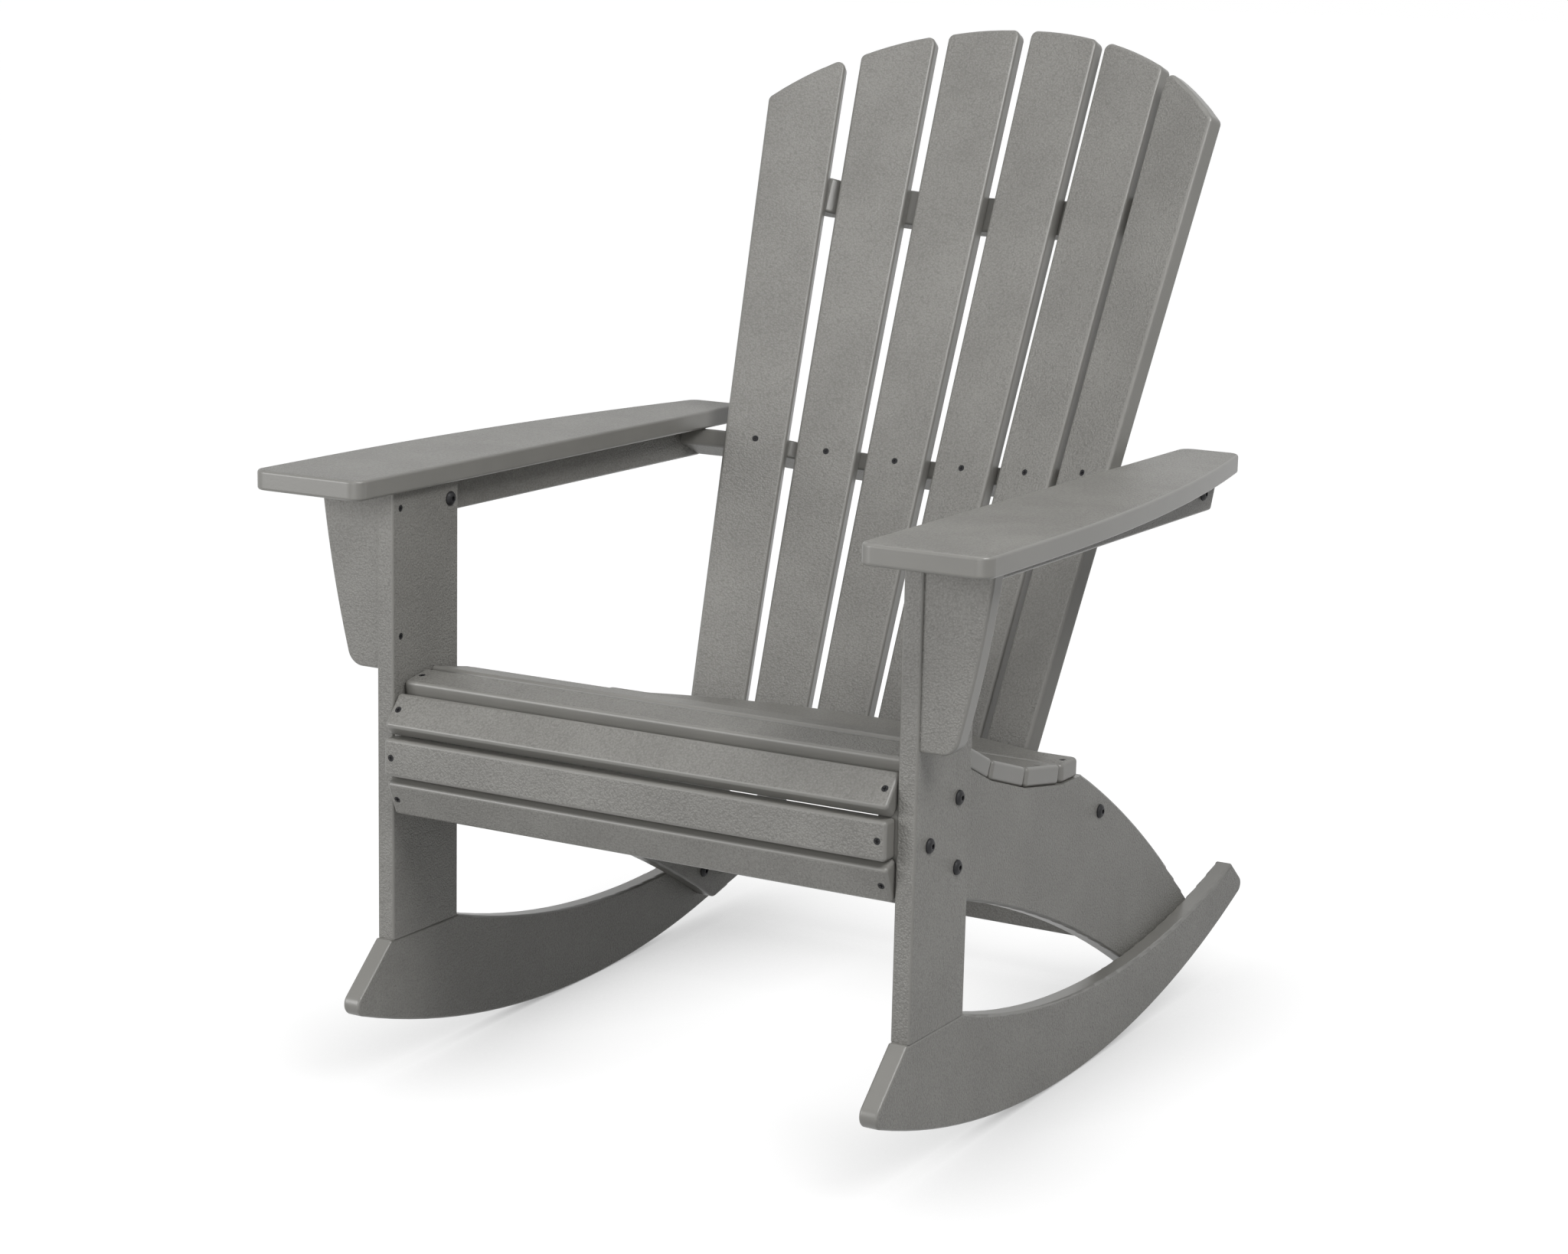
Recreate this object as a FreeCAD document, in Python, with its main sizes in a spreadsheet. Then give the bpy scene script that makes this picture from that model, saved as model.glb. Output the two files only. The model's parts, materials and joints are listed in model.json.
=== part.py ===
import FreeCAD, Part
import math
import os

import Sketcher
from FreeCAD import Placement, Rotation, Vector

# Rocking adirondack chair of flat boards, in millimetres.
# The chair is laid out in the frame of its front legs, which stand upright in it: X to the
# sitter's left, Y to the rear from the legs' front faces, Z up from the legs' feet, x = 0 on the
# middle plane. At the end the whole chair turns about X until its weight is over the point
# where the rockers touch the floor, and that point becomes the origin.

SIZES = {
    # Boards, their rounded edges and the play round each fastener
    "board": 20,
    "edge_round": 3,
    "slat_round": 4,
    "hole_play": 0.15,
    # Front legs
    "leg_span": 605,
    "leg_depth": 110,
    "leg_height": 455,
    # Rockers
    "rocker_radius": 1180,
    "rocker_centre": 340.4,
    "rocker_drop": 133.5,
    "rocker_waist_radius": 1140,
    "nose_step": 3.4,
    "nose_angle": 43,
    "nose_round": 12,
    "tail_reach": 770,
    "tail_depth": 47.5,
    "tail_angle": 39,
    "tail_round": 10,
    "waist_start": 2,
    # Side panels, which end at the rear in a foot beside the rocker
    "arch_radius": 1819,
    "panel_rear_radius": 1435,
    "panel_nose": 9.6,
    "panel_top_tail": 7.9,
    "foot_setback": 48,
    "foot_length": 132,
    "foot_lift": 12.5,
    "foot_round": 13,
    # Front and seat slats: their play, and where the lowest front slat starts
    "slat_end_play": 1.5,
    "slat_play": 1.5,
    "slat_gap": 3.5,
    "front_start": 0.5,
    "front_bottom": 130.8,
    "front_slat_width": 38.6,
    "crest_slat_width": 62.5,
    "seat_slat_width": 76,
    "rear_slat_width": 40,
    "rear_slat_flat": 49,
    "rear_slat_radius": 680,
    "rear_slat_round": 6,
    "rear_slat_blend": 20,
    # Slopes of the slats from front to rear
    "front_lower_angle": 113,
    "front_middle_angle": 90,
    "front_upper_angle": 50,
    "seat_front_angle": 9.5,
    "seat_crest_angle": -10.4,
    "seat_a_angle": -24.9,
    "seat_b_angle": -17,
    "seat_c_angle": -9.3,
    "seat_rear_angle": 0,
    # The back: its lean, the lower cross rail's front edge behind the seat, the slats' heights
    "back_angle": 23.5,
    "back_setback": 37.3,
    "lower_rail_height": 129.6,
    "back_height": 850,
    "back_foot": 21.5,
    "back_top_radius": 390,
    "back_top_round": 8,
    "back_slat_top_width": 84.5,
    "back_slat_foot_width": 59,
    # Each pair of back slats: distance of its middle from the middle plane at the arm rails, how
    # far its front face lies behind the rail's end there, its turn toward the sitter, its splay
    "back_inner_reach": 40.8,
    "back_inner_depth": 18.7,
    "back_inner_turn_angle": 3.8,
    "back_inner_splay_angle": 0.94,
    "back_middle_reach": 121.3,
    "back_middle_depth": 7.8,
    "back_middle_turn_angle": 11.4,
    "back_middle_splay_angle": 2.79,
    "back_outer_reach": 198.4,
    "back_outer_depth": -16.6,
    "back_outer_turn_angle": 19,
    "back_outer_splay_angle": 4.86,
    # Cross rails and the upper brace
    "rail_end_depth": 44.5,
    "rail_rear_flat": 255,
    "rail_middle_depth": 98,
    "rail_facet_play": 1.5,
    "brace_height": 640,
    "brace_width": 40,
    "brace_half_span": 250,
    "brace_radius": 603.8,
    # Arms, the rails under them and their front brackets
    "arm_front": 69.8,
    "arm_overhang": 37,
    "arm_inner_lap": 31,
    "arm_reach": 98.4,
    "arm_outer_bend": 46,
    "arm_outer_radius": 2830,
    "arm_front_round": 14,
    "arm_rear_round": 14,
    "arm_rail_depth": 36.6,
    "arm_rail_tail": 3,
    "bracket_setback": 3,
    "bracket_height": 179.5,
    "bracket_foot": 35,
    "bracket_top": 70,
    "bracket_radius": 1200,
    "bracket_round": 18,
    # Cross stretcher between the feet
    "stretcher_setback": 102,
    "stretcher_lift": 27.5,
    "stretcher_height": 36.4,
    # Button-head bolts
    "bolt_head": 14.5,
    "bolt_head_height": 4,
    "bolt_head_rim": 1.2,
    "bolt_head_flat": 7.4,
    "bolt_head_dome": 5.5,
    "bolt_shank": 7,
    "bolt_socket": 4.6,
    "bolt_socket_depth": 2.4,
    "bolt_bite": 18,
    "rail_bolt_bite": 45,
    # Countersunk cross-head screws
    "screw_head": 6.8,
    "screw_head_height": 2.6,
    "screw_shank": 4,
    "screw_tip": 1.6,
    "screw_point": 4,
    "screw_sink": 0.4,
    "screw_bite": 18,
    "screw_short_bite": 13,
    "screw_cross": 4.2,
    "screw_cross_width": 1.1,
    "screw_cross_depth": 1.4,
    # Plain studs that join the legs to the rockers
    "stud": 8,
    "stud_length": 70,
    "stud_inset": 28,
    # Places of the fasteners
    "leg_bolt_upper_rear": 85,
    "leg_bolt_upper": 216.8,
    "leg_bolt_front": 28.1,
    "leg_bolt_middle": 183.2,
    "leg_bolt_lower": 149.9,
    "arm_bolt_inset": 14.4,
    "arm_bolt_drop": 18.3,
    "rail_bolt_depth": 18,
    "foot_bolt_front": 156,
    "foot_bolt_rear": 57,
    "foot_bolt_drop": 11,
    "bracket_screw_top": 17.6,
    "bracket_screw_low": 145.6,
    "arm_screw_front": 30,
    "arm_screw_rear": 45,
    "stretcher_screw_inset": 11,
    # Weight of the boards and of the fasteners, in grams per cubic centimetre
    "board_density": 0.95,
    "steel_density": 7.85,
}

BACK_SLATS = ("inner", "middle", "outer")
SIDES = (("left", 1), ("right", -1))
FORWARD_PLANES = {"XY_Plane": 1, "XZ_Plane": -1, "YZ_Plane": 1}
NEAR = 0.01

doc = FreeCAD.newDocument("rocking_chair")
sheet = doc.addObject("Spreadsheet::Sheet", "sizes")
for row, (alias, value) in enumerate(SIZES.items(), start=1):
    sheet.set("A%d" % row, alias)
    sheet.set("B%d" % row, str(value))
    sheet.setAlias("B%d" % row, alias)
doc.recompute()


def size(alias):
    return float(sheet.get(alias))


board = size("board")
outer = size("leg_span") / 2
inner = outer - board
panel_inner = inner - board
rail_outer = outer + board
panel_middle = (inner + panel_inner) / 2


# Plane geometry


def at_angle(degrees, length=1.0):
    angle = math.radians(degrees)
    return Vector(math.cos(angle), math.sin(angle), 0) * length


def quarter_turn(direction):
    return Vector(-direction.y, direction.x, 0)


def crossing(point_a, along_a, point_b, along_b):
    """Where two lines of one plane meet."""
    normal = quarter_turn(along_b)
    return point_a + along_a * ((point_b - point_a).dot(normal) / along_a.dot(normal))


def circle_crossing(point, along, centre, radius):
    """Where a line meets a circle, at the crossing further along it."""
    unit = Vector(along).normalize()
    middle = (centre - point).dot(unit)
    offset = (point + unit * middle - centre).Length
    return point + unit * (middle + math.sqrt(radius**2 - offset**2))


def on_circle(centre, radius, across, side):
    """The point of a circle at one sideways coordinate, above (1) or below (-1) its centre."""
    return Vector(across, centre.y + side * math.sqrt(radius**2 - (across - centre.x) ** 2), 0)


def arc(start, end, radius, side):
    """An arc under a half turn that bulges to the left (1) or right (-1) of start to end."""
    chord = end - start
    half = chord.Length / 2
    rise = radius - math.sqrt(radius**2 - half**2)
    middle = (start + end) / 2 + quarter_turn(chord).normalize() * (side * rise)
    return Part.Arc(start, middle, end)


def arc_centre(start, end, radius, side):
    chord = end - start
    half = chord.Length / 2
    return (start + end) / 2 - quarter_turn(chord).normalize() * (side * math.sqrt(radius**2 - half**2))


def yz(along, up):
    """A point of a side view."""
    return Vector(along, up, 0)


def mirrored(edges):
    """An outline's other hand, with the sides of its arcs changed over."""
    return [(Vector(-point.x, point.y, 0), curve and (curve[0], -curve[1])) for point, curve in edges]


# Building blocks


def sketch_on(body, plane, name):
    sketch = body.newObject("Sketcher::SketchObject", name)
    support = [part for part in body.Origin.OriginFeatures if part.Role == plane][0]
    sketch.AttachmentSupport = [(support, "")]
    sketch.MapMode = "FlatFace"
    return sketch


def draw(sketch, edges):
    """A closed outline whose corners are dimensioned from the origin.

    Each edge is (start, None) for a straight run or (start, (radius, side)) for an arc, whose
    radius is written in the names of the sheet.
    """
    corners = [start for start, curve in edges]
    for index, (start, curve) in enumerate(edges):
        end = corners[(index + 1) % len(corners)]
        if curve is None:
            sketch.addGeometry(Part.LineSegment(start, end), False)
        else:
            radius = float(sketch.evalExpression(curve[0]))
            sketch.addGeometry(arc(start, end, radius, curve[1]), False)

    def touching(edge, point):
        return min((1, 2), key=lambda end: (sketch.getPoint(edge, end) - point).Length)

    for index in range(len(edges)):
        following = (index + 1) % len(edges)
        corner = corners[following]
        here = touching(following, corner)
        sketch.addConstraint(
            Sketcher.Constraint("Coincident", index, touching(index, corner), following, here)
        )
        sketch.addConstraint(Sketcher.Constraint("DistanceX", -1, 1, following, here, corner.x))
        sketch.addConstraint(Sketcher.Constraint("DistanceY", -1, 1, following, here, corner.y))
    for index, (start, curve) in enumerate(edges):
        if curve is not None:
            radius = float(sketch.evalExpression(curve[0]))
            dimension = sketch.addConstraint(Sketcher.Constraint("Radius", index, radius))
            sketch.setExpression("Constraints[%d]" % dimension, curve[0])


def in_plane(plane, point):
    """A body's point as its sketch plane's two coordinates and the distance from the plane."""
    if plane == "XY_Plane":
        return Vector(point.x, point.y, point.z)
    if plane == "XZ_Plane":
        return Vector(point.x, point.z, point.y)
    return Vector(point.y, point.z, point.x)


def fillet(body, base, edges, alias, name):
    names = ["Edge%d" % (index + 1) for index, edge in enumerate(base.Shape.Edges) if edges(edge)]
    round_off = body.newObject("PartDesign::Fillet", name)
    round_off.Base = (base, names)
    round_off.setExpression("Radius", "sizes." + alias)
    doc.recompute()
    return round_off


def board_body(name, plane, edges, rounding="edge_round", corners=(), sharp=None, depth="sizes.board"):
    """A board cut to an outline, with rounded edges.

    corners lists (point, alias) for the outline's corners that are rounded in plan. sharp(a, b)
    says which of the outline's edges, given by their ends, keep square edges on both faces.
    """
    body = doc.addObject("PartDesign::Body", name + "_body")
    sketch = sketch_on(body, plane, name + "_outline")
    draw(sketch, edges)
    pad = body.newObject("PartDesign::Pad", name + "_board")
    pad.Profile = sketch
    pad.setExpression("Length", depth)
    pad.Reversed = FORWARD_PLANES[plane] < 0
    doc.recompute()
    tip = pad
    for place, alias in corners:

        def is_corner(edge, place=place):
            ends = [in_plane(plane, vertex.Point) for vertex in edge.Vertexes]
            return all(math.hypot(end.x - place.x, end.y - place.y) < NEAR for end in ends)

        tip = fillet(body, tip, is_corner, alias, "%s_corner" % name)

    def is_rounded(edge):
        ends = [in_plane(plane, vertex.Point) for vertex in edge.Vertexes]
        if abs(ends[0].z - ends[-1].z) > NEAR:
            return False
        return sharp is None or not sharp(ends[0], ends[-1])

    tip = fillet(body, tip, is_rounded, rounding, name + "_edges")
    body.Tip = tip
    return body


def plank_body(name, length, width, rounding="slat_round"):
    """A straight board: length along X from the middle, width along Y, thickness up Z.

    Its length and width are written in the names of the sheet.
    """
    body = doc.addObject("PartDesign::Body", name + "_body")
    sketch = sketch_on(body, "XY_Plane", name + "_outline")
    half = float(sketch.evalExpression(length)) / 2
    wide = float(sketch.evalExpression(width))
    corners = [(-half, 0), (half, 0), (half, wide), (-half, wide)]
    corners = [Vector(across, along, 0) for across, along in corners]
    for start, end in zip(corners, corners[1:] + corners[:1]):
        sketch.addGeometry(Part.LineSegment(start, end), False)
    for index in range(4):
        sketch.addConstraint(Sketcher.Constraint("Coincident", index, 2, (index + 1) % 4, 1))
    sketch.addConstraint(Sketcher.Constraint("Horizontal", 2))
    sketch.addConstraint(Sketcher.Constraint("Vertical", 1))
    sketch.addConstraint(Sketcher.Constraint("Vertical", 3))
    sketch.addConstraint(Sketcher.Constraint("PointOnObject", 0, 1, -1))
    sketch.addConstraint(Sketcher.Constraint("Symmetric", 0, 1, 0, 2, -2))
    across = sketch.addConstraint(Sketcher.Constraint("DistanceX", 0, 1, 0, 2, 2 * half))
    along = sketch.addConstraint(Sketcher.Constraint("DistanceY", 1, 1, 1, 2, wide))
    sketch.setExpression("Constraints[%d]" % across, length)
    sketch.setExpression("Constraints[%d]" % along, width)
    pad = body.newObject("PartDesign::Pad", name + "_board")
    pad.Profile = sketch
    pad.setExpression("Length", "sizes.board")
    doc.recompute()
    body.Tip = fillet(body, pad, lambda edge: True, rounding, name + "_edges")
    return body


def turned_body(name, edges):
    """A solid of revolution about Z from an outline of (radius, height) points."""
    body = doc.addObject("PartDesign::Body", name + "_body")
    sketch = sketch_on(body, "XZ_Plane", name + "_outline")
    draw(sketch, edges)
    turn = body.newObject("PartDesign::Revolution", name + "_turning")
    turn.Profile = sketch
    turn.ReferenceAxis = (sketch, ["V_Axis"])
    turn.Angle = 360
    body.Tip = turn
    doc.recompute()
    return body


# Fasteners: each stands on the face at z = 0 and runs down into the board from there


def bolt_shapes(name, bite):
    """A low button head with a six-sided socket, its shank, and the hole that the shank needs."""
    head = size("bolt_head") / 2
    shank = size("bolt_shank") / 2
    height = size("bolt_head_height")
    play = size("hole_play")
    edges = [
        (Vector(0, -bite, 0), None),
        (Vector(shank, -bite, 0), None),
        (Vector(shank, 0, 0), None),
        (Vector(head, 0, 0), None),
        (Vector(head, size("bolt_head_rim"), 0), ("sizes.bolt_head_dome", -1)),
        (Vector(size("bolt_head_flat") / 2, height, 0), None),
        (Vector(0, height, 0), None),
    ]
    body = turned_body(name, edges)
    floor = height - size("bolt_socket_depth")
    across = size("bolt_socket") / math.sqrt(3)
    socket = Part.makePolygon([at_angle(60 * turn, across) for turn in range(7)])
    socket = Part.Face(socket).extrude(Vector(0, 0, height))
    socket.translate(Vector(0, 0, floor))
    hole = Part.makeCylinder(shank + play, bite + play, Vector(0, 0, -bite - play))
    return body.Shape.cut(socket), hole


def screw_shapes(name, bite):
    """A countersunk head just below the face, with a cross recess, its shank and its hole."""
    head = size("screw_head") / 2
    shank = size("screw_shank") / 2
    sink = size("screw_sink")
    height = size("screw_head_height")
    play = size("hole_play")
    edges = [
        (Vector(0, -bite, 0), None),
        (Vector(size("screw_tip") / 2, -bite, 0), None),
        (Vector(shank, -bite + size("screw_point"), 0), None),
        (Vector(shank, -sink - height, 0), None),
        (Vector(head, -sink, 0), None),
        (Vector(0, -sink, 0), None),
    ]
    body = turned_body(name, edges)
    long = size("screw_cross")
    wide = size("screw_cross_width")
    deep = size("screw_cross_depth")
    shape = body.Shape
    for along, across in ((long, wide), (wide, long)):
        slot = Part.makeBox(along, across, deep + sink, Vector(-along / 2, -across / 2, -sink - deep))
        shape = shape.cut(slot)
    hole = Part.makeCylinder(shank + play, bite + play, Vector(0, 0, -bite - play))
    sinking = Part.makeCone(shank + play, head + play, height, Vector(0, 0, -sink - height))
    mouth = Part.makeCylinder(head + play, sink + play, Vector(0, 0, -sink))
    return shape, hole.fuse([sinking, mouth])


def stud_shapes(name, length):
    """A plain stud, half above and half below the joint at z = 0, and its hole."""
    play = size("hole_play")
    radius = size("stud") / 2
    half = length / 2
    corners = [Vector(0, -half, 0), Vector(radius, -half, 0), Vector(radius, half, 0), Vector(0, half, 0)]
    body = turned_body(name, [(corner, None) for corner in corners])
    hole = Part.makeCylinder(radius + play, length + 2 * play, Vector(0, 0, -half - play))
    return body.Shape, hole


fastener_shapes = {
    "bolt": bolt_shapes("bolt", board + size("bolt_bite")),
    "rail_bolt": bolt_shapes("rail_bolt", board + size("rail_bolt_bite")),
    "screw": screw_shapes("screw", board + size("screw_bite")),
    "short_screw": screw_shapes("short_screw", board + size("screw_short_bite")),
    "arm_screw": screw_shapes("arm_screw", size("arm_rail_depth") + size("screw_short_bite")),
    "stud": stud_shapes("stud", size("stud_length")),
}
groups = {}
drills = {}
bodies = {}


def fasten(group, kind, place, facing, pieces):
    """Puts a fastener of one kind on a face that looks toward facing, through the pieces."""
    where = Placement(place, Rotation(Vector(0, 0, 1), facing))
    solid, hole = fastener_shapes[kind]
    groups.setdefault(group, []).append(solid.transformed(where.toMatrix()))
    for piece in pieces:
        drills.setdefault(piece, []).append(hole.transformed(where.toMatrix()))


def put(name, body, place=Vector(0, 0, 0), turn=None):
    body.Placement = Placement(place, turn or Rotation())
    bodies[name] = body


# Rockers


rocker_centre = yz(size("rocker_centre"), size("rocker_radius") - size("rocker_drop"))
waist_start = yz(size("leg_depth") + size("waist_start"), 0)
tail_top = on_circle(rocker_centre, size("rocker_radius"), size("tail_reach"), -1)
tail_top += yz(0, size("tail_depth"))


def rocker_outline():
    nose_top = yz(-size("nose_step"), 0)
    nose_line = at_angle(180 + size("nose_angle"))
    nose = circle_crossing(nose_top, nose_line, rocker_centre, size("rocker_radius"))
    tail_line = at_angle(-size("tail_angle"))
    tail = circle_crossing(tail_top, tail_line, rocker_centre, size("rocker_radius"))
    edges = [
        (nose, ("sizes.rocker_radius", -1)),
        (tail, None),
        (tail_top, ("sizes.rocker_waist_radius", 1)),
        (waist_start, None),
        (nose_top, None),
    ]
    return edges, [(nose, "nose_round"), (tail, "tail_round")]


for side, sign in SIDES:
    edges, corners = rocker_outline()
    name = side + "_rocker"
    put(name, board_body(name, "YZ_Plane", edges, corners=corners))
    bodies[name].Placement.Base.x = inner if sign > 0 else -outer

# Front legs, square at the foot and under the arm
for side, sign in SIDES:
    name = side + "_front_leg"
    top = size("leg_height")
    edges = [(yz(0, 0), None), (yz(size("leg_depth"), 0), None)]
    edges += [(yz(size("leg_depth"), top), None), (yz(0, top), None)]

    def is_end(start, end):
        return abs(start.y - end.y) < NEAR

    put(name, board_body(name, "YZ_Plane", edges, sharp=is_end))
    bodies[name].Placement.Base.x = inner if sign > 0 else -outer


# Front and seat slats: a chain of boards, each given by the front corner of its outer face,
# its slope and its width. On an outward bend the next board keeps clear of the last one's end.

SLATS = (
    ("front_slat_lower", "front_lower_angle", "front_slat_width"),
    ("front_slat_middle", "front_middle_angle", "front_slat_width"),
    ("front_slat_upper", "front_upper_angle", "front_slat_width"),
    ("seat_slat_front", "seat_front_angle", "front_slat_width"),
    ("seat_slat_crest", "seat_crest_angle", "crest_slat_width"),
    ("seat_slat_a", "seat_a_angle", "seat_slat_width"),
    ("seat_slat_b", "seat_b_angle", "seat_slat_width"),
    ("seat_slat_c", "seat_c_angle", "seat_slat_width"),
    ("seat_slat_rear", "seat_rear_angle", "rear_slat_width"),
)


def slat_chain():
    """Name, start of the outer face, slope and width of every front and seat slat."""
    start = yz(size("front_start"), size("front_bottom"))
    slope = None
    chain = []
    for name, angle, width in SLATS:
        following = size(angle)
        if slope is not None:
            bend = math.radians(slope - following)
            if bend > 0:
                rounding = size("slat_round")
                gap = rounding * (1 - math.cos(bend)) + (board - rounding) * math.sin(bend)
                gap = max(gap + size("slat_play"), size("slat_gap"))
            else:
                gap = size("slat_gap")
            start = start + at_angle(slope, gap)
        slope = following
        chain.append((name, start, slope, width))
        start = start + at_angle(slope, size(width))
    return chain


slat_run = slat_chain()
slat_length = "sizes.leg_span - 2 * (sizes.board + sizes.slat_end_play)"
slat_end = inner - size("slat_end_play")
rear_slope = slat_run[-1][2]
seat_end = slat_run[-1][1] + at_angle(rear_slope, size("rear_slat_width"))

for name, start, slope, width in slat_run:
    if name == "seat_slat_rear":
        continue
    under = start - quarter_turn(at_angle(slope)) * board
    put(name, plank_body(name, slat_length, "sizes." + width))
    bodies[name].Placement = Placement(Vector(0, under.x, under.y), Rotation(Vector(1, 0, 0), slope))


def rear_slat_outline():
    """The last seat slat, whose rear edge bows back toward the back slats between its ends."""
    bow = slat_end - size("rear_slat_flat")
    width = size("rear_slat_width")
    edges = [
        (Vector(-slat_end, 0, 0), None),
        (Vector(slat_end, 0, 0), None),
        (Vector(slat_end, width, 0), None),
        (Vector(bow, width, 0), ("sizes.rear_slat_radius", -1)),
        (Vector(-bow, width, 0), None),
        (Vector(-slat_end, width, 0), None),
    ]
    rounds = [(corner, "rear_slat_round") for corner, curve in edges[:3] + edges[5:]]
    blends = [(corner, "rear_slat_blend") for corner, curve in edges[3:5]]
    return edges, rounds + blends


name = "seat_slat_rear"
edges, corners = rear_slat_outline()
under = slat_run[-1][1] - quarter_turn(at_angle(rear_slope)) * board
put(name, board_body(name, "XY_Plane", edges, "slat_round", corners))
bodies[name].Placement = Placement(Vector(0, under.x, under.y), Rotation(Vector(1, 0, 0), rear_slope))

for name, start, slope, width in slat_run:
    normal = quarter_turn(at_angle(slope))
    middle = start + at_angle(slope, size(width) / 2)
    group = "seat_slat_screws" if name.startswith("seat") else "front_slat_screws"
    for side, sign in SIDES:
        place = Vector(sign * panel_middle, middle.x, middle.y)
        facing = Vector(0, normal.x, normal.y)
        fasten(group, "screw", place, facing, [name, side + "_side_panel"])


# Side panels: the slats lie on their edges, an arch runs below to the foot beside the rocker

foot_end = size("tail_reach") - size("foot_setback")


def panel_outline():
    lift_radius = size("rocker_radius") - size("foot_lift")
    foot_front = on_circle(rocker_centre, lift_radius, foot_end - size("foot_length"), -1)
    foot_rear = on_circle(rocker_centre, lift_radius, foot_end, -1)
    lines = []
    for name, start, slope, width in slat_run:
        along = at_angle(slope)
        lines.append((start - quarter_turn(along) * board, along))
    arch_foot = lines[0][0] - lines[0][1] * size("panel_nose")
    top_end = lines[-1][0] + lines[-1][1] * (size("rear_slat_width") + size("panel_top_tail"))
    edges = [
        (arch_foot, ("sizes.arch_radius", 1)),
        (foot_front, ("sizes.rocker_radius - sizes.foot_lift", -1)),
        (foot_rear, ("sizes.panel_rear_radius", -1)),
        (top_end, None),
    ]
    joints = [crossing(*lines[index], *lines[index + 1]) for index in range(len(lines) - 1)]
    edges += [(joint, None) for joint in reversed(joints)]
    return edges, foot_front


for side, sign in SIDES:
    name = side + "_side_panel"
    edges, foot_front = panel_outline()
    seat_edges = [start for start, curve in edges[3:]] + [edges[0][0]]

    def under_slats(start, end):
        def listed(point):
            return any(math.hypot(point.x - seat.x, point.y - seat.y) < NEAR for seat in seat_edges)

        return listed(start) and listed(end)

    corners = [(foot_front, "foot_round")]
    put(name, board_body(name, "YZ_Plane", edges, corners=corners, sharp=under_slats))
    bodies[name].Placement.Base.x = panel_inner if sign > 0 else -inner

# The back is laid out in a frame that leans with it: X sideways, Y to the rear across the slats
# and Z up along them, from the lower cross rail's front edge at its ends.

lean = math.radians(size("back_angle"))
back_turn = Rotation(Vector(1, 0, 0), -size("back_angle"))
back_foot = Vector(0, seat_end.x + size("back_setback"), size("lower_rail_height"))
back_frame = Placement(back_foot, back_turn)
rail_level = (size("leg_height") - size("lower_rail_height")) / math.cos(lean) - board / 2


def back_slat_width(height):
    """Width of a back slat at a height above the lower cross rail."""
    whole = size("back_height") + size("back_foot")
    share = (height + size("back_foot")) / whole
    return size("back_slat_foot_width") * (1 - share) + size("back_slat_top_width") * share


def back_slat_middle(pair, height):
    """Plan place of the middle of a left slat's rear face at a height, and its run outward."""
    outward = at_angle(-size("back_" + pair + "_turn_angle"))
    front = Vector(size("back_" + pair + "_reach"), size("back_" + pair + "_depth"), 0)
    spread = (height - rail_level) * math.tan(math.radians(size("back_" + pair + "_splay_angle")))
    return front + outward * spread + quarter_turn(outward) * board, outward


def unrolled_reach(pair):
    """Distance of a slat's middle from the middle plane, along the slats' front faces."""
    reach = 0
    last = Vector(0, size("back_inner_depth"), 0)
    for name in BACK_SLATS:
        here = Vector(size("back_" + name + "_reach"), size("back_" + name + "_depth"), 0)
        reach += (here - last).Length
        last = here
        if name == pair:
            return reach


def back_slat_outline(pair, sign):
    """A splayed slat with straight sides and its share of the back's round top."""
    splay = math.radians(size("back_" + pair + "_splay_angle"))
    up = Vector(math.sin(splay), math.cos(splay), 0)
    across = Vector(math.cos(splay), -math.sin(splay), 0)
    foot_height = -size("back_foot") - rail_level
    top_height = size("back_height") - rail_level
    foot = up * (foot_height / math.cos(splay))
    top = up * (top_height / math.cos(splay))
    centre = Vector(-unrolled_reach(pair), top_height - size("back_top_radius"), 0)
    ends = []
    for edge in (-1, 1):
        low = foot + across * (edge * size("back_slat_foot_width") / 2)
        high = top + across * (edge * size("back_slat_top_width") / 2)
        high = circle_crossing(low, high - low, centre, size("back_top_radius"))
        ends.append((low, high))
    (low_in, high_in), (low_out, high_out) = ends
    edges = [(low_in, None), (low_out, None), (high_out, ("sizes.back_top_radius", -1)), (high_in, None)]
    if sign < 0:
        edges = mirrored(edges)
    return edges, [(corner, "back_top_round") for corner, curve in edges[2:]]


for pair in BACK_SLATS:
    for side, sign in SIDES:
        name = "back_slat_%s_%s" % (pair, side)
        edges, corners = back_slat_outline(pair, sign)
        turn = Rotation(Vector(0, 0, 1), -sign * size("back_" + pair + "_turn_angle"))
        front = Vector(sign * size("back_" + pair + "_reach"), size("back_" + pair + "_depth"), rail_level)
        put(name, board_body(name, "XZ_Plane", edges, "slat_round", corners))
        bodies[name].Placement = back_frame.multiply(Placement(front, turn))


# Cross rails behind the back slats: their front edge has a flat for each slat


def slat_flats(height):
    """Corners of a cross piece's front edge on the left side, from the middle outward."""
    half = back_slat_width(height) / 2 + size("rail_facet_play")
    corners = []
    for pair in BACK_SLATS:
        middle, outward = back_slat_middle(pair, height)
        corners += [middle - outward * half, middle + outward * half]
    return corners


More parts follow.
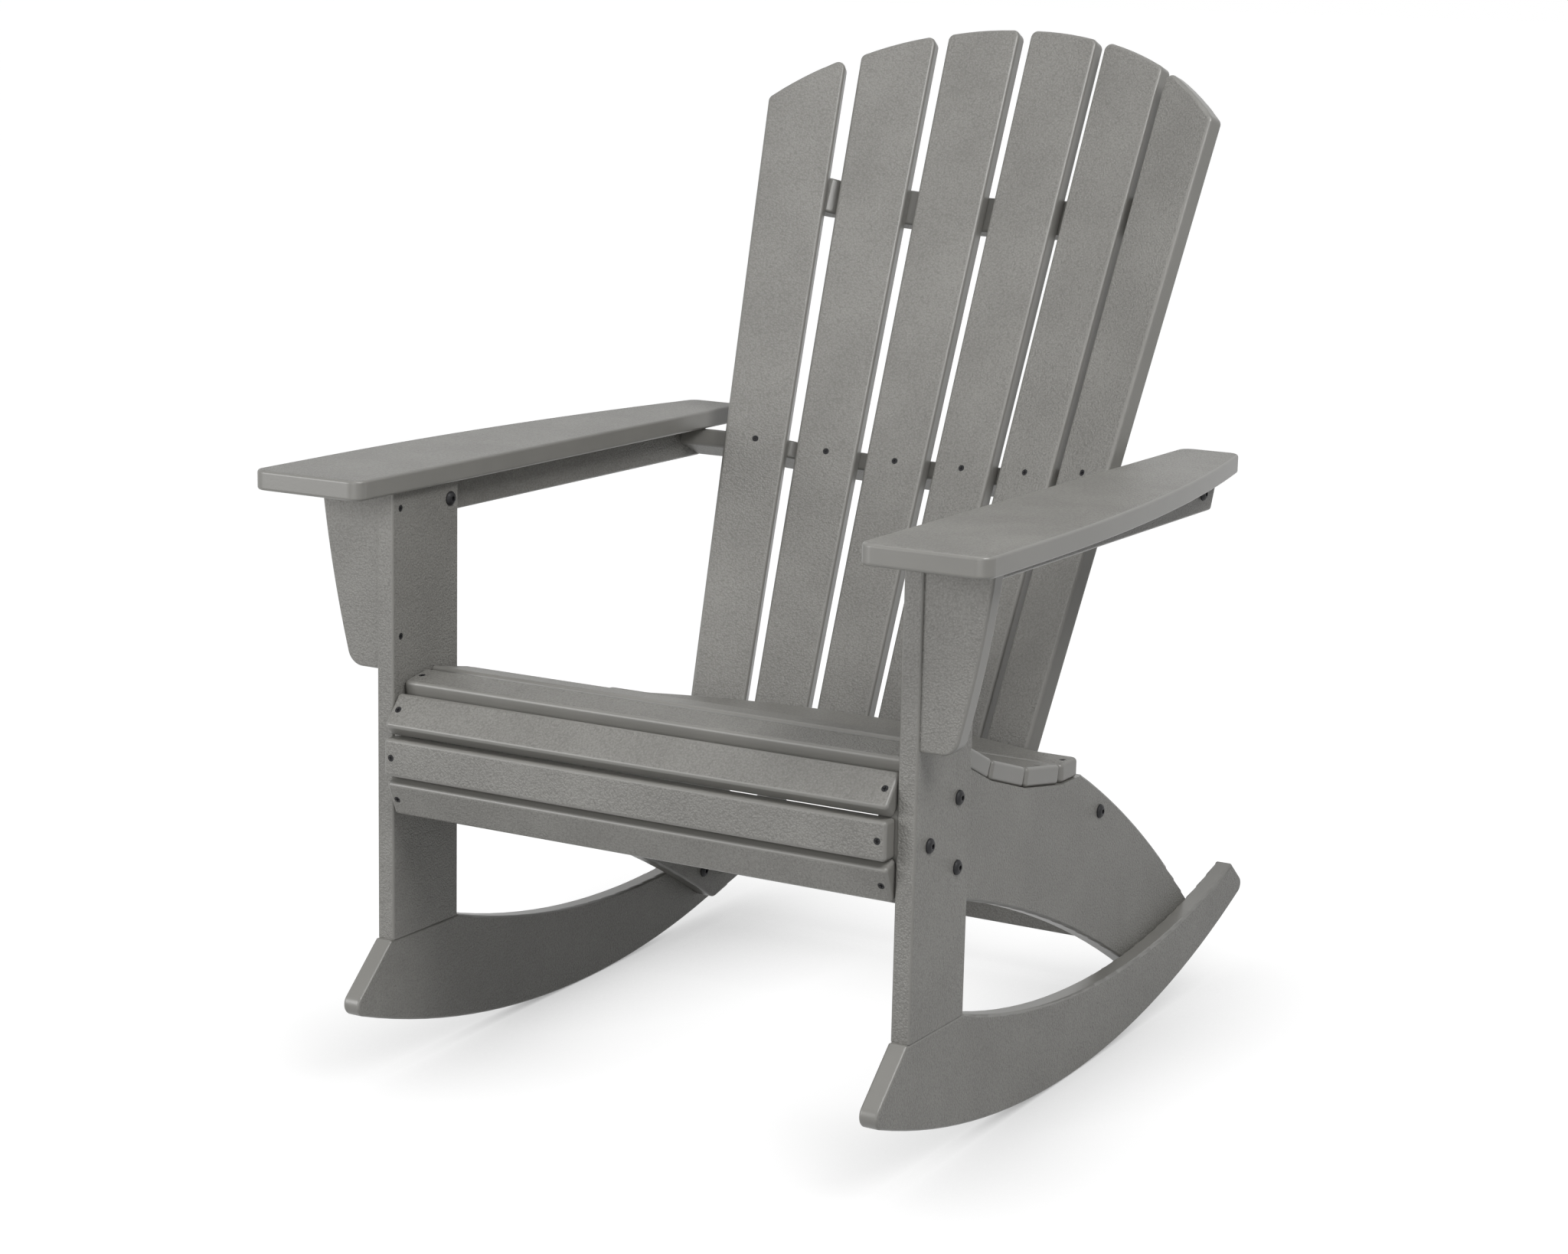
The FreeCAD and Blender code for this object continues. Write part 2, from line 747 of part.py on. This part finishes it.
def cross_rail_outline(height, end):
    """A rail whose front follows the slats and whose rear is a long bow, in plan."""
    flats = slat_flats(height)
    middle, outward = back_slat_middle("outer", height)
    turn_out = crossing(middle, outward, Vector(0, 0, 0), Vector(1, 0, 0))
    left = [Vector(end, 0, 0), turn_out] + flats[4::-1]
    right = [Vector(-point.x, point.y, 0) for point in reversed(left)]
    depth = size("rail_end_depth")
    flat = size("rail_rear_flat")
    rear = [Vector(-end, depth, 0), Vector(-flat, depth, 0), Vector(flat, depth, 0), Vector(end, depth, 0)]
    rise = "(sizes.rail_middle_depth - sizes.rail_end_depth)"
    radius = "(sizes.rail_rear_flat ^ 2 + %s ^ 2) / (2 * %s)" % (rise, rise)
    edges = [(point, None) for point in left + right + rear]
    edges[len(left) + len(right) + 1] = (rear[1], (radius, 1))
    return edges


for name, height, end in (("arm_level_back_rail", rail_level, outer), ("lower_back_rail", 0, panel_inner)):
    edges = cross_rail_outline(height, end)

    def is_end(start, finish, end=end):
        return abs(abs(start.x) - end) < NEAR and abs(abs(finish.x) - end) < NEAR

    put(name, board_body(name, "XY_Plane", edges, sharp=is_end))
    bodies[name].Placement = back_frame.multiply(Placement(Vector(0, 0, height - board / 2), Rotation()))


def brace_outline():
    """The upper brace: its front follows the slats and its rear is one bow, in plan."""
    middle, outward = back_slat_middle("outer", size("brace_height"))
    tip = crossing(middle, outward, Vector(size("brace_half_span"), 0, 0), Vector(0, 1, 0))
    left = [tip] + slat_flats(size("brace_height"))[4::-1]
    right = [Vector(-point.x, point.y, 0) for point in reversed(left)]
    rear_left = tip + Vector(0, board, 0)
    rear_right = Vector(-rear_left.x, rear_left.y, 0)
    edges = [(point, None) for point in left + right]
    edges += [(rear_right, ("sizes.brace_radius", 1)), (rear_left, None)]
    return edges, arc_centre(rear_right, rear_left, size("brace_radius"), 1)


edges, brace_bow = brace_outline()
name = "upper_back_brace"
put(name, board_body(name, "XY_Plane", edges, depth="sizes.brace_width"))
brace_foot = Vector(0, 0, size("brace_height") - size("brace_width") / 2)
bodies[name].Placement = back_frame.multiply(Placement(brace_foot, Rotation()))

for side, sign in SIDES:
    for pair in BACK_SLATS:
        slat = "back_slat_%s_%s" % (pair, side)
        for group, rail, height in (
            ("lower_back_screws", "lower_back_rail", 0),
            ("arm_level_back_screws", "arm_level_back_rail", rail_level),
        ):
            middle, outward = back_slat_middle(pair, height)
            facing = -quarter_turn(outward)
            front = middle + facing * board
            place = back_frame.multVec(Vector(sign * front.x, front.y, height))
            facing = back_turn.multVec(Vector(sign * facing.x, facing.y, 0))
            fasten(group, "screw", place, facing, [slat, rail])
        middle, outward = back_slat_middle(pair, size("brace_height"))
        facing = quarter_turn(outward)
        behind = circle_crossing(middle, facing, brace_bow, size("brace_radius"))
        place = back_frame.multVec(Vector(sign * behind.x, behind.y, size("brace_height")))
        facing = back_turn.multVec(Vector(sign * facing.x, facing.y, 0))
        fasten("brace_screws", "short_screw", place, facing, ["upper_back_brace", slat])


# Arms, the rails below them and the brackets at the front of the legs

rail_rear = back_frame.multVec(Vector(0, size("rail_end_depth"), rail_level))
rail_bolt = back_frame.multVec(Vector(0, size("rail_bolt_depth"), rail_level))


def arm_outline():
    front = -size("arm_front")
    rear = rail_rear.y + size("arm_overhang")
    inside = outer - size("arm_inner_lap")
    outside = outer + size("arm_reach")
    centre = Vector(outside - size("arm_outer_radius"), size("arm_outer_bend"), 0)
    rear_outside = centre.x + math.sqrt(size("arm_outer_radius") ** 2 - (rear - centre.y) ** 2)
    edges = [
        (Vector(inside, front, 0), None),
        (Vector(outside, front, 0), None),
        (Vector(outside, size("arm_outer_bend"), 0), ("sizes.arm_outer_radius", -1)),
        (Vector(rear_outside, rear, 0), None),
        (Vector(inside, rear, 0), None),
    ]
    return edges, ("arm_front_round", "arm_front_round", None, "arm_rear_round", "arm_rear_round")


def arm_rail_outline():
    """The rail under an arm, cut at the rear along the lean of the back."""
    top = size("leg_height")
    bottom = top - size("arm_rail_depth")
    front = size("bracket_setback") + board
    behind = back_frame.multVec(Vector(0, size("rail_end_depth") + size("arm_rail_tail"), 0))
    behind = yz(behind.y, behind.z)
    rising = yz(math.sin(lean), math.cos(lean))
    low = crossing(behind, rising, yz(0, bottom), yz(1, 0))
    high = crossing(behind, rising, yz(0, top), yz(1, 0))
    return [(yz(front, bottom), None), (low, None), (high, None), (yz(front, top), None)]


def bracket_outline():
    top = size("leg_height")
    bottom = top - size("bracket_height")
    return [
        (Vector(outer, bottom, 0), None),
        (Vector(outer + size("bracket_foot"), bottom, 0), ("sizes.bracket_radius", -1)),
        (Vector(outer + size("bracket_top"), top, 0), None),
        (Vector(outer, top, 0), None),
    ]


def is_seated(start, end):
    """Edges that lie against an arm or a leg stay square."""
    under_arm = min(start.y, end.y) > size("leg_height") - NEAR
    return under_arm or max(abs(start.x), abs(end.x)) < outer + NEAR


for side, sign in SIDES:
    name = side + "_arm"
    edges, rounds = arm_outline()
    if sign < 0:
        edges = mirrored(edges)
    corners = [(point, alias) for (point, curve), alias in zip(edges, rounds) if alias]
    put(name, board_body(name, "XY_Plane", edges, corners=corners), Vector(0, 0, size("leg_height")))

    name = side + "_arm_rail"
    edges = arm_rail_outline()

    def is_hidden(start, end):
        under_arm = min(start.y, end.y) > size("leg_height") - NEAR
        return under_arm or max(start.x, end.x) < size("bracket_setback") + board + NEAR

    put(name, board_body(name, "YZ_Plane", edges, corners=[(edges[1][0], "slat_round")], sharp=is_hidden))
    bodies[name].Placement.Base.x = outer if sign > 0 else -rail_outer

    name = side + "_arm_bracket"
    edges = bracket_outline()
    if sign < 0:
        edges = mirrored(edges)
    corners = [(edges[1][0], "bracket_round")]
    bracket = board_body(name, "XZ_Plane", edges, corners=corners, sharp=is_seated)
    put(name, bracket, Vector(0, size("bracket_setback"), 0))

# Cross stretcher between the feet of the side panels
between = "sizes.leg_span - 4 * sizes.board"
stretcher = plank_body("cross_stretcher", between, "sizes.stretcher_height", "edge_round")
stretcher_low = on_circle(rocker_centre, size("rocker_radius"), foot_end - size("stretcher_setback"), -1)
stretcher_low += yz(0, size("stretcher_lift"))
stretcher_foot = Vector(0, stretcher_low.x + board, stretcher_low.y)
put("cross_stretcher", stretcher, stretcher_foot, Rotation(Vector(1, 0, 0), 90))

# Bolts, screws and studs of the frame
waist_centre = arc_centre(tail_top, waist_start, size("rocker_waist_radius"), 1)

for side, sign in SIDES:
    leg = side + "_front_leg"
    rocker = side + "_rocker"
    panel = side + "_side_panel"
    outward = Vector(sign, 0, 0)
    inward = Vector(-sign, 0, 0)
    for along, up in (
        ("leg_bolt_upper_rear", "leg_bolt_upper"),
        ("leg_bolt_front", "leg_bolt_middle"),
        ("leg_bolt_upper_rear", "leg_bolt_lower"),
    ):
        place = Vector(sign * outer, size(along), size(up))
        fasten(side + "_leg_bolts", "bolt", place, outward, [leg, panel])

    place = back_frame.multVec(Vector(sign * inner, size("rail_bolt_depth"), 0))
    fasten("lower_back_rail_bolts", "rail_bolt", place, outward, [panel, "lower_back_rail"])
    place = Vector(sign * rail_outer, rail_bolt.y, rail_bolt.z)
    pieces = [side + "_arm_rail", "arm_level_back_rail"]
    fasten("arm_level_back_rail_bolts", "rail_bolt", place, outward, pieces)

    for alias in ("foot_bolt_front", "foot_bolt_rear"):
        waist = on_circle(waist_centre, size("rocker_waist_radius"), foot_end - size(alias), -1)
        place = Vector(sign * panel_inner, waist.x, waist.y - size("foot_bolt_drop"))
        fasten("foot_bolts", "bolt", place, inward, [panel, rocker])

    arm_bolt = Vector(
        sign * inner,
        size("leg_depth") - size("arm_bolt_inset"),
        size("leg_height") - size("arm_bolt_drop"),
    )
    fasten("arm_rail_bolts", "bolt", arm_bolt, inward, [leg, side + "_arm_rail"])

    for alias in ("bracket_screw_top", "bracket_screw_low"):
        across = size("bracket_setback") + board / 2
        place = Vector(sign * inner, across, size("leg_height") - size(alias))
        fasten("bracket_screws", "screw", place, inward, [leg, side + "_arm_bracket"])

    first = size("leg_depth") + size("arm_screw_front")
    last = rail_bolt.y - size("arm_screw_rear")
    for along in (first, (first + last) / 2, last):
        under = size("leg_height") - size("arm_rail_depth")
        place = Vector(sign * (outer + board / 2), along, under)
        fasten("arm_screws", "arm_screw", place, Vector(0, 0, -1), [side + "_arm_rail", side + "_arm"])

    inset = size("stretcher_screw_inset")
    for up in (inset, size("stretcher_height") - inset):
        along = stretcher_low.x + board / 2
        place = Vector(sign * inner, along, stretcher_low.y + up)
        fasten("stretcher_screws", "screw", place, outward, [panel, "cross_stretcher"])

    for along in (size("stud_inset"), size("leg_depth") - size("stud_inset")):
        place = Vector(sign * (outer - board / 2), along, 0)
        fasten("leg_studs", "stud", place, Vector(0, 0, 1), [leg, rocker])

# Each board with its holes, and each group of fasteners
doc.recompute()
nodes = []
for name, body in bodies.items():
    holes = doc.addObject("Part::Feature", name + "_holes")
    holes.Shape = Part.makeCompound(drills[name])
    drilled = doc.addObject("Part::Cut", name)
    drilled.Label = name
    drilled.Base = body
    drilled.Tool = holes
    nodes.append((drilled, size("board_density")))
for name, solids in groups.items():
    group = doc.addObject("Part::Feature", name)
    group.Label = name
    group.Shape = Part.makeCompound(solids)
    nodes.append((group, size("steel_density")))
doc.recompute()

# The chair rocks until its weight is over the point where the rockers touch the floor
weight = 0
moment = Vector(0, 0, 0)
for node, density in nodes:
    for solid in node.Shape.Solids:
        weight += density * solid.Volume
        moment += solid.CenterOfMass * (density * solid.Volume)
balance = moment / weight
rest = math.atan2(balance.y - rocker_centre.x, rocker_centre.y - balance.z)
radius = size("rocker_radius")
touch = Vector(
    0,
    rocker_centre.x + radius * math.sin(rest),
    rocker_centre.y - radius * math.cos(rest),
)
turn = Rotation(Vector(1, 0, 0), -math.degrees(rest))
rest_place = Placement(-turn.multVec(touch), turn)
for node, density in nodes:
    node.Placement = rest_place
doc.recompute()

for item in doc.Objects:
    if "Invalid" in item.State or "Error" in item.State:
        raise RuntimeError(item.Name + " did not build")
for node, density in nodes:
    if node.Shape.isNull() or not node.Shape.isValid():
        raise RuntimeError(node.Label + " is not a sound shape")

os.makedirs("parts", exist_ok=True)
for node, density in nodes:
    node.Shape.exportStep("parts/" + node.Label + ".step")
print("nodes", len(nodes), "rest tilt %.3f degrees" % math.degrees(rest))
print("touches the floor at y = %.1f in the legs' frame" % touch.y, "weight %.2f kg" % (weight / 1e6))
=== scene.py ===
import json
import math

import bpy
from mathutils import Matrix, Vector

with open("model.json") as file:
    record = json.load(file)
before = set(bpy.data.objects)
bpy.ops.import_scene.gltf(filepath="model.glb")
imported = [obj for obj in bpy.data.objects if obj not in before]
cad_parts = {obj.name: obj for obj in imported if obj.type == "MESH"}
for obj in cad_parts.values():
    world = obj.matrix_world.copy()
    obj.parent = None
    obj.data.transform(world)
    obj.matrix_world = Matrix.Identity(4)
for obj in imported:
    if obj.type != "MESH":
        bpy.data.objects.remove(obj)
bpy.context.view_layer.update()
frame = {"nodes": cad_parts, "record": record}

# The finish of a rocking chair of slate grey plastic boards: fine pebbled skins, smooth rounded
# and sawn edges, black screws and bolts. Sizes are in metres, in the chair's own frame.

# Colours of a board's skin and of its cut edges, and the tones between which deep turns to pale
GREY_DEEP = (0.186, 0.181, 0.168)
GREY_PALE = (0.300, 0.294, 0.275)
SKIN_TONES = (0.3, 0.75)
GREY_CUT_DEEP = (0.239, 0.234, 0.218)
GREY_CUT_PALE = (0.257, 0.251, 0.234)
CUT_TONES = (0.3, 0.7)

# The skin's grain of pebbles and specks, the broad clouds of colour and a slight swell. A detail is
# the number of octaves of a noise and their roughness. The grain's height on cut edges and the
# swell's are shares of its height on the skin.
PEBBLE = 0.0021
PEBBLE_SHARE = 0.5
SPECK = 0.0012
GRAIN_IN_TONE = 0.65
GRAIN_DEPTH = 0.0012
GRAIN_ON_CUTS = 0.04
CLOUD = 0.09
CLOUD_DETAIL = (3.0, 0.6)
SWELL = 0.03
SWELL_SHARE = 0.05

# Where the skin ends on a rounded edge, by how squarely the surface faces the skin's way. A front
# leg has skin in front as well as on its wide faces. Faces look the same way if their normals agree
# to this many digits.
SKIN_EDGE = (0.90, 0.995)
LEG_FRONT = Vector((0.0, -1.0, 0.0))
NORMAL_DIGITS = 2

# Roughness of a cut edge, and what specks and skin add to it
CUT_ROUGHNESS = 0.32
SPECK_ROUGHNESS = 0.06
SKIN_ROUGHNESS = 0.12
BOARD_SHINE = 0.65

# Fasteners: rubbed patches on black coated steel, and its grit
BLACK_STEEL = (0.018, 0.018, 0.020)
WORN_STEEL = (0.055, 0.054, 0.053)
RUB = 0.004
RUB_DETAIL = (3.0, 0.6)
RUB_EDGE = (0.55, 0.8)
RUB_COLOUR = 0.5
RUB_METAL = 0.30
GRIT = 0.0006
GRIT_DEPTH = 0.00005
GRIT_STRENGTH = 0.4
STEEL_ROUGHNESS = 0.40
GRIT_ROUGHNESS = 0.18
STEEL_SHINE = 0.3


class Reading:
    """A socket whose value may vary over a surface; arithmetic on it adds Math nodes."""

    def __init__(self, nodes, socket):
        self.nodes = nodes
        self.socket = socket

    def __add__(self, other):
        return self.nodes.maths("ADD", self, other)

    def __radd__(self, other):
        return self.nodes.maths("ADD", other, self)

    def __sub__(self, other):
        return self.nodes.maths("SUBTRACT", self, other)

    def __rsub__(self, other):
        return self.nodes.maths("SUBTRACT", other, self)

    def __mul__(self, other):
        return self.nodes.maths("MULTIPLY", self, other)

    def __rmul__(self, other):
        return self.nodes.maths("MULTIPLY", other, self)

    def __abs__(self):
        return self.nodes.maths("ABSOLUTE", self)

    def between(self, low, high):
        """0 below low, 1 above high and a smooth rise between."""
        return self.nodes.node(
            "ShaderNodeMapRange",
            {"interpolation_type": "SMOOTHSTEP"},
            {"Value": self, "From Min": low, "From Max": high},
        )


class Nodes:
    """The nodes of a material or of the world, and the output that they end in."""

    def __init__(self, tree, output):
        self.tree = tree
        self.tree.nodes.clear()
        self.output = self.tree.nodes.new(output)

    def feed(self, socket, value):
        if isinstance(value, Reading):
            self.tree.links.new(value.socket, socket)
        elif hasattr(value, "__len__") and len(value) == 3 and len(socket.default_value) == 4:
            socket.default_value = (*value, 1.0)
        else:
            socket.default_value = value

    def node(self, kind, settings=None, values=None, output=0):
        made = self.tree.nodes.new(kind)
        for setting, value in (settings or {}).items():
            setattr(made, setting, value)
        for socket, value in (values or {}).items():
            self.feed(made.inputs[socket], value)
        return Reading(self, made.outputs[output])

    def maths(self, operation, first, second=None):
        values = {0: first} if second is None else {0: first, 1: second}
        return self.node("ShaderNodeMath", {"operation": operation}, values)

    def mix(self, share, first, second):
        """A colour between two, by a share from 0 to 1."""
        settings = {"data_type": "RGBA", "clamp_factor": True}
        return self.node("ShaderNodeMix", settings, {0: share, 6: first, 7: second}, output=2)

    def either(self, share, first, second):
        """A shader between two, by a share from 0 to 1."""
        return self.node("ShaderNodeMixShader", values={0: share, 1: first, 2: second})

    def show(self, shader):
        self.feed(self.output.inputs["Surface"], shader)


class Finish(Nodes):
    """A surface finish: one material and the nodes that feed its Principled shader."""

    def __init__(self, name):
        self.material = bpy.data.materials.new(name)
        self.material.use_nodes = True
        super().__init__(self.material.node_tree, "ShaderNodeOutputMaterial")

    def place(self):
        """The point on the object, in metres."""
        return self.node("ShaderNodeTexCoord", output="Object")

    def noise(self, place, size, detail=2.0, rough=0.5):
        """Cloudy noise from 0 to 1 whose blotches are about size across."""
        values = {"Vector": place, "Scale": 1.0 / size, "Detail": detail, "Roughness": rough}
        return self.node("ShaderNodeTexNoise", values=values, output="Fac")

    def cells(self, place, size, smooth=0.6):
        """Distance to the nearest of scattered points, in units of the size that parts them."""
        settings = {"feature": "SMOOTH_F1"}
        values = {"Vector": place, "Scale": 1.0 / size, "Smoothness": smooth}
        return self.node("ShaderNodeTexVoronoi", settings, values, output="Distance")

    def facing(self, axis):
        """How squarely the surface faces along an axis, either way, from 0 to 1."""
        normal = self.node("ShaderNodeNewGeometry", output="Normal")
        settings = {"operation": "DOT_PRODUCT"}
        values = {0: normal, 1: axis}
        return abs(self.node("ShaderNodeVectorMath", settings, values, output="Value"))

    def relief(self, height, depth, strength=1.0):
        """A surface normal for a relief whose height runs from 0 to 1 over depth."""
        values = {"Height": height, "Distance": depth, "Strength": strength}
        return self.node("ShaderNodeBump", values=values, output="Normal")

    def paint(self, **values):
        """The material, once its shader is given these values."""
        values = {name.replace("_", " "): value for name, value in values.items()}
        self.show(self.node("ShaderNodeBsdfPrincipled", values=values))
        return self.material


# Boards and fasteners


def wide_face(piece):
    """The direction that a board's largest faces look in."""
    shares = {}
    for face in piece.data.polygons:
        key = tuple(round(abs(part), NORMAL_DIGITS) for part in face.normal)
        total, normal = shares.get(key, (0.0, face.normal.copy()))
        shares[key] = (total + face.area, normal)
    return max(shares.values(), key=lambda share: share[0])[1].normalized()


def board_finish(name, skin_faces):
    """Solid plastic lumber: pebbled skins on some faces, smooth rounded and sawn edges."""
    finish = Finish("grey_board_" + name)
    place = finish.place()
    skins = [finish.facing(face).between(*SKIN_EDGE) for face in skin_faces]
    skin = sum(skins[1:], skins[0])
    pebbles = 1 - finish.cells(place, PEBBLE)
    specks = finish.noise(place, SPECK)
    clouds = finish.noise(place, CLOUD, *CLOUD_DETAIL)
    swell = finish.noise(place, SWELL)

    grain = pebbles * PEBBLE_SHARE + specks * (1 - PEBBLE_SHARE)
    tone = grain * GRAIN_IN_TONE + clouds * (1 - GRAIN_IN_TONE)
    ground = finish.mix(tone.between(*SKIN_TONES), GREY_DEEP, GREY_PALE)
    cut = finish.mix(clouds.between(*CUT_TONES), GREY_CUT_DEEP, GREY_CUT_PALE)
    grain_height = grain * (GRAIN_ON_CUTS + (1 - GRAIN_ON_CUTS) * skin)
    return finish.paint(
        Base_Color=finish.mix(skin, cut, ground),
        Roughness=CUT_ROUGHNESS + SPECK_ROUGHNESS * specks + SKIN_ROUGHNESS * skin,
        Normal=finish.relief(grain_height + swell * SWELL_SHARE, GRAIN_DEPTH),
        Specular_IOR_Level=BOARD_SHINE,
    )


def fastener_finish():
    """Black coated steel, rubbed a little in places."""
    finish = Finish("black_fastener")
    place = finish.place()
    rub = finish.noise(place, RUB, *RUB_DETAIL).between(*RUB_EDGE)
    grit = finish.noise(place, GRIT)
    return finish.paint(
        Base_Color=finish.mix(rub * RUB_COLOUR, BLACK_STEEL, WORN_STEEL),
        Roughness=STEEL_ROUGHNESS + GRIT_ROUGHNESS * grit,
        Metallic=RUB_METAL * rub,
        Normal=finish.relief(grit, GRIT_DEPTH, GRIT_STRENGTH),
        Specular_IOR_Level=STEEL_SHINE,
    )


def dress(piece, material):
    piece.data.materials.clear()
    piece.data.materials.append(material)


fasteners = fastener_finish()
for name, piece in sorted(frame["nodes"].items()):
    if name.endswith(("bolts", "screws", "studs")):
        dress(piece, fasteners)
    elif name.endswith("front_leg"):
        dress(piece, board_finish(name, [wide_face(piece), LEG_FRONT]))
    else:
        dress(piece, board_finish(name, [wide_face(piece)]))


# Stage: a floor and a background that the camera and reflections see as plain white, with a soft
# shadow painted into the floor's glow close to the rockers. Broad lamps stand in front, above and
# to both sides of the chair.

WHITE = (1.0, 1.0, 1.0)
SKY_LEVEL = 0.02
FLOOR_SIZE = 60.0
FLOOR_BOUNCE = (0.42, 0.42, 0.42)
FLOOR_WHITE = (0.88, 0.88, 0.88)

# The painted shadow that dims the seen floor's glow beside what stands on it, and the seen floor's
# share of the lamps' real shadows. The floor's own glow makes up for that share, so that it is
# white away from the chair.
PAINTED_SHADOW_REACH = 0.22
PAINTED_SHADOW_DEPTH = 0.72
SHADOW_SAMPLES = 16
LAMP_SHADOW = 0.12
FLOOR_GLOW = 1.14

# Each lamp's place, the length of its side and its level
LAMP_AIM = Vector((0.0, 0.0, 0.5))
LAMPS = {
    "left_lamp": ((1.8, -0.8, 2.6), 1.2, 0.52),
    "right_lamp": ((-1.7, -2.4, 1.0), 1.2, 0.34),
    "top_lamp": ((0.0, -0.5, 3.0), 2.0, 0.22),
    "front_lamp": ((0.9, -2.6, 1.0), 1.6, 0.19),
}


def seen_or_mirrored(nodes):
    """1 for what the camera sees directly, in a reflection or through glass, otherwise 0."""
    kinds = ("Is Camera Ray", "Is Glossy Ray", "Is Transmission Ray")
    camera, glossy, clear = [nodes.node("ShaderNodeLightPath", output=kind) for kind in kinds]
    return nodes.maths("MAXIMUM", nodes.maths("MAXIMUM", camera, glossy), clear)


def floor_paint():
    """White where it is seen, with a painted shadow beside what stands on it; a mid grey reflector.
    """
    paint = bpy.data.materials.new("white_floor")
    paint.use_nodes = True
    nodes = Nodes(paint.node_tree, "ShaderNodeOutputMaterial")
    bounce = nodes.node("ShaderNodeBsdfDiffuse", values={"Color": FLOOR_BOUNCE})
    lit = nodes.node("ShaderNodeBsdfDiffuse", values={"Color": FLOOR_WHITE})
    glow = nodes.node("ShaderNodeEmission", values={"Color": WHITE, "Strength": FLOOR_GLOW})
    dark = nodes.node("ShaderNodeEmission", values={"Color": WHITE, "Strength": 0.0})
    settings = {"samples": SHADOW_SAMPLES}
    # Painted shadow: the floor's glow is dimmed by how much nearby geometry hides it, not by the
    # lamps.
    clear = nodes.node("ShaderNodeAmbientOcclusion", settings, {"Distance": PAINTED_SHADOW_REACH}, "AO")
    glow_with_painted_shadow = nodes.either(PAINTED_SHADOW_DEPTH * (1 - clear), glow, dark)
    shown = nodes.either(LAMP_SHADOW, glow_with_painted_shadow, lit)
    nodes.show(nodes.either(seen_or_mirrored(nodes), bounce, shown))
    return paint


def white_floor():
    bpy.ops.mesh.primitive_plane_add(size=FLOOR_SIZE, location=(0.0, 0.0, 0.0))
    floor = bpy.context.object
    floor.name = "floor"
    dress(floor, floor_paint())


def soft_lamp(name, place, side, level):
    """A square lamp; level is what it adds to a white surface at the chair that faces it."""
    toward = Vector(place) - LAMP_AIM
    lamp = bpy.data.lights.new(name, "AREA")
    lamp.shape = "SQUARE"
    lamp.size = side
    lamp.energy = level * (math.pi * toward.length) ** 2
    holder = bpy.data.objects.new(name, lamp)
    holder.location = place
    holder.rotation_euler = toward.to_track_quat("Z", "Y").to_euler()
    bpy.context.scene.collection.objects.link(holder)


def sky():
    """A little even light from all round; the camera and reflections see plain white."""
    world = bpy.data.worlds.new("studio")
    bpy.context.scene.world = world
    world.use_nodes = True
    nodes = Nodes(world.node_tree, "ShaderNodeOutputWorld")
    light = nodes.node("ShaderNodeBackground", values={"Color": WHITE, "Strength": SKY_LEVEL})
    white = nodes.node("ShaderNodeBackground", values={"Color": WHITE, "Strength": 1.0})
    nodes.show(nodes.either(seen_or_mirrored(nodes), light, white))


# Camera: placed in the frame of the chair's front legs, which lean back a little when it rests.
# Lengths of the picture are in pixels, angles in degrees and the sensor's width in millimetres.

SENSOR_WIDTH = 36.0
IMAGE_SIZE = (2048, 1638)
FOCAL_PIXELS = 4296.95
IMAGE_CENTRE = (1004.08, 852.32)
CAMERA_PLACE = Vector((1.6253, -2.5582, 0.9745))
CAMERA_TURN = 30.055
CAMERA_DIP = 11.953
CAMERA_ROLL = 1.240
ARM_TOP_IN_LEG_FRAME = Vector((0.330, 0.100, 0.475))


def leg_frame():
    """The frame of the front legs, from the place and the lean of the left arm's top."""
    mounts = {mount["name"]: mount for mount in frame["record"]["mounts"]}
    arm_top = mounts["left_arm_top"]
    lean = math.atan2(arm_top["axis"][1], arm_top["axis"][2])
    turned = Matrix.Translation(Vector(arm_top["pos_m"])) @ Matrix.Rotation(-lean, 4, "X")
    return turned @ Matrix.Translation(-ARM_TOP_IN_LEG_FRAME)


def photo_camera():
    turn = Matrix.Rotation(math.radians(CAMERA_TURN), 4, "Z")
    turn = turn @ Matrix.Rotation(math.radians(90 - CAMERA_DIP), 4, "X")
    turn = turn @ Matrix.Rotation(math.radians(CAMERA_ROLL), 4, "Z")
    lens = bpy.data.cameras.new("photo_camera")
    lens.sensor_width = SENSOR_WIDTH
    lens.lens = lens.sensor_width * FOCAL_PIXELS / IMAGE_SIZE[0]
    lens.shift_x = (IMAGE_SIZE[0] / 2 - IMAGE_CENTRE[0]) / IMAGE_SIZE[0]
    lens.shift_y = (IMAGE_CENTRE[1] - IMAGE_SIZE[1] / 2) / IMAGE_SIZE[0]
    camera = bpy.data.objects.new("photo_camera", lens)
    camera.matrix_world = leg_frame() @ Matrix.Translation(CAMERA_PLACE) @ turn
    bpy.context.scene.collection.objects.link(camera)
    bpy.context.scene.camera = camera


white_floor()
sky()
for name, (place, side, level) in LAMPS.items():
    soft_lamp(name, place, side, level)
photo_camera()
bpy.context.scene.view_settings.view_transform = "Standard"
